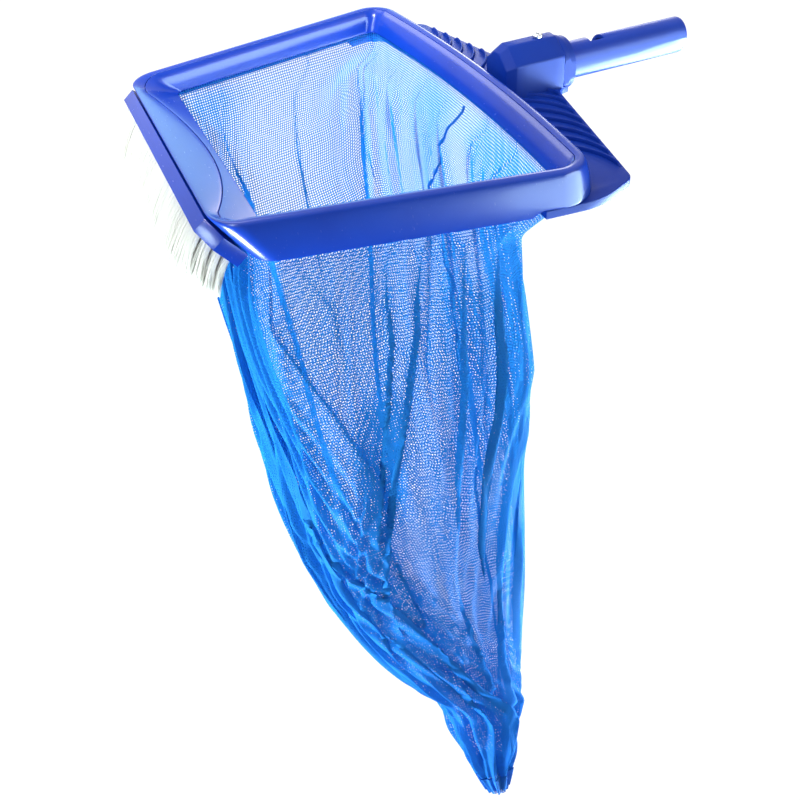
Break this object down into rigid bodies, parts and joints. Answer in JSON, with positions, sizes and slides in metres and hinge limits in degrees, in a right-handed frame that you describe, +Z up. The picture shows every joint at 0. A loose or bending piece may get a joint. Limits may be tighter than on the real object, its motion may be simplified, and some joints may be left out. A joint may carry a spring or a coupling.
{
  "type": "leaf skimmer net",
  "caption": "Deep-bag leaf skimmer net head: trapezoid scoop rim on a ribbed yoke, short pole socket, hanging mesh bag and a slide-on front brush.",
  "frame": {"origin": "on the handle tube's axis, at the hub's rear shoulder face", "axes": "+Y along the handle tube towards the pole, +Z up as the net hangs when held level, head rolled 35 degrees about the tube with its +X side down"},
  "size_m": [0.3089, 0.4598, 0.6612],
  "materials": {
    "rim_blue": "glossy moulded plastic",
    "yoke_blue": "satin moulded plastic",
    "mesh_blue": "fine woven nylon mesh",
    "tape_blue": "sewn binding tape",
    "cord_white": "braided cord",
    "bristle_white": "soft synthetic bristle",
    "screw_steel": "stainless"
  },
  "bodies": {
    "net_head": {"bag_hem": "mesh_blue", "bag_seam": "tape_blue", "base_ring": "rim_blue", "brush_rail": "rim_blue", "handle_tube": "rim_blue", "hem_cord": "cord_white", "hub_nut": "screw_steel", "hub_screw": "screw_steel", "inner_ring": "rim_blue", "mesh_bag": "mesh_blue", "outer_frame": "rim_blue", "rail_screw_1": "screw_steel", "rail_screw_2": "screw_steel", "rail_screw_3": "screw_steel", "rim_screw_1": "screw_steel", "rim_screw_2": "screw_steel", "rim_screw_3": "screw_steel", "rim_screw_4": "screw_steel", "rim_screw_5": "screw_steel", "rim_screw_6": "screw_steel", "toe_binding": "tape_blue", "yoke": "yoke_blue", "yoke_screw_1": "screw_steel", "yoke_screw_2": "screw_steel", "yoke_screw_3": "screw_steel", "yoke_screw_4": "screw_steel"},
    "brush": {"brush_block": "rim_blue", "bristle_row_1": "bristle_white", "bristle_row_2": "bristle_white", "bristle_row_3": "bristle_white", "bristle_row_4": "bristle_white"}
  },
  "joints": [
    {"name": "brush_slide", "type": "slide", "parent": "net_head", "child": "brush", "axis": [0.8192, 0, -0.5736], "range_m": [0, 0.24]}
  ]
}
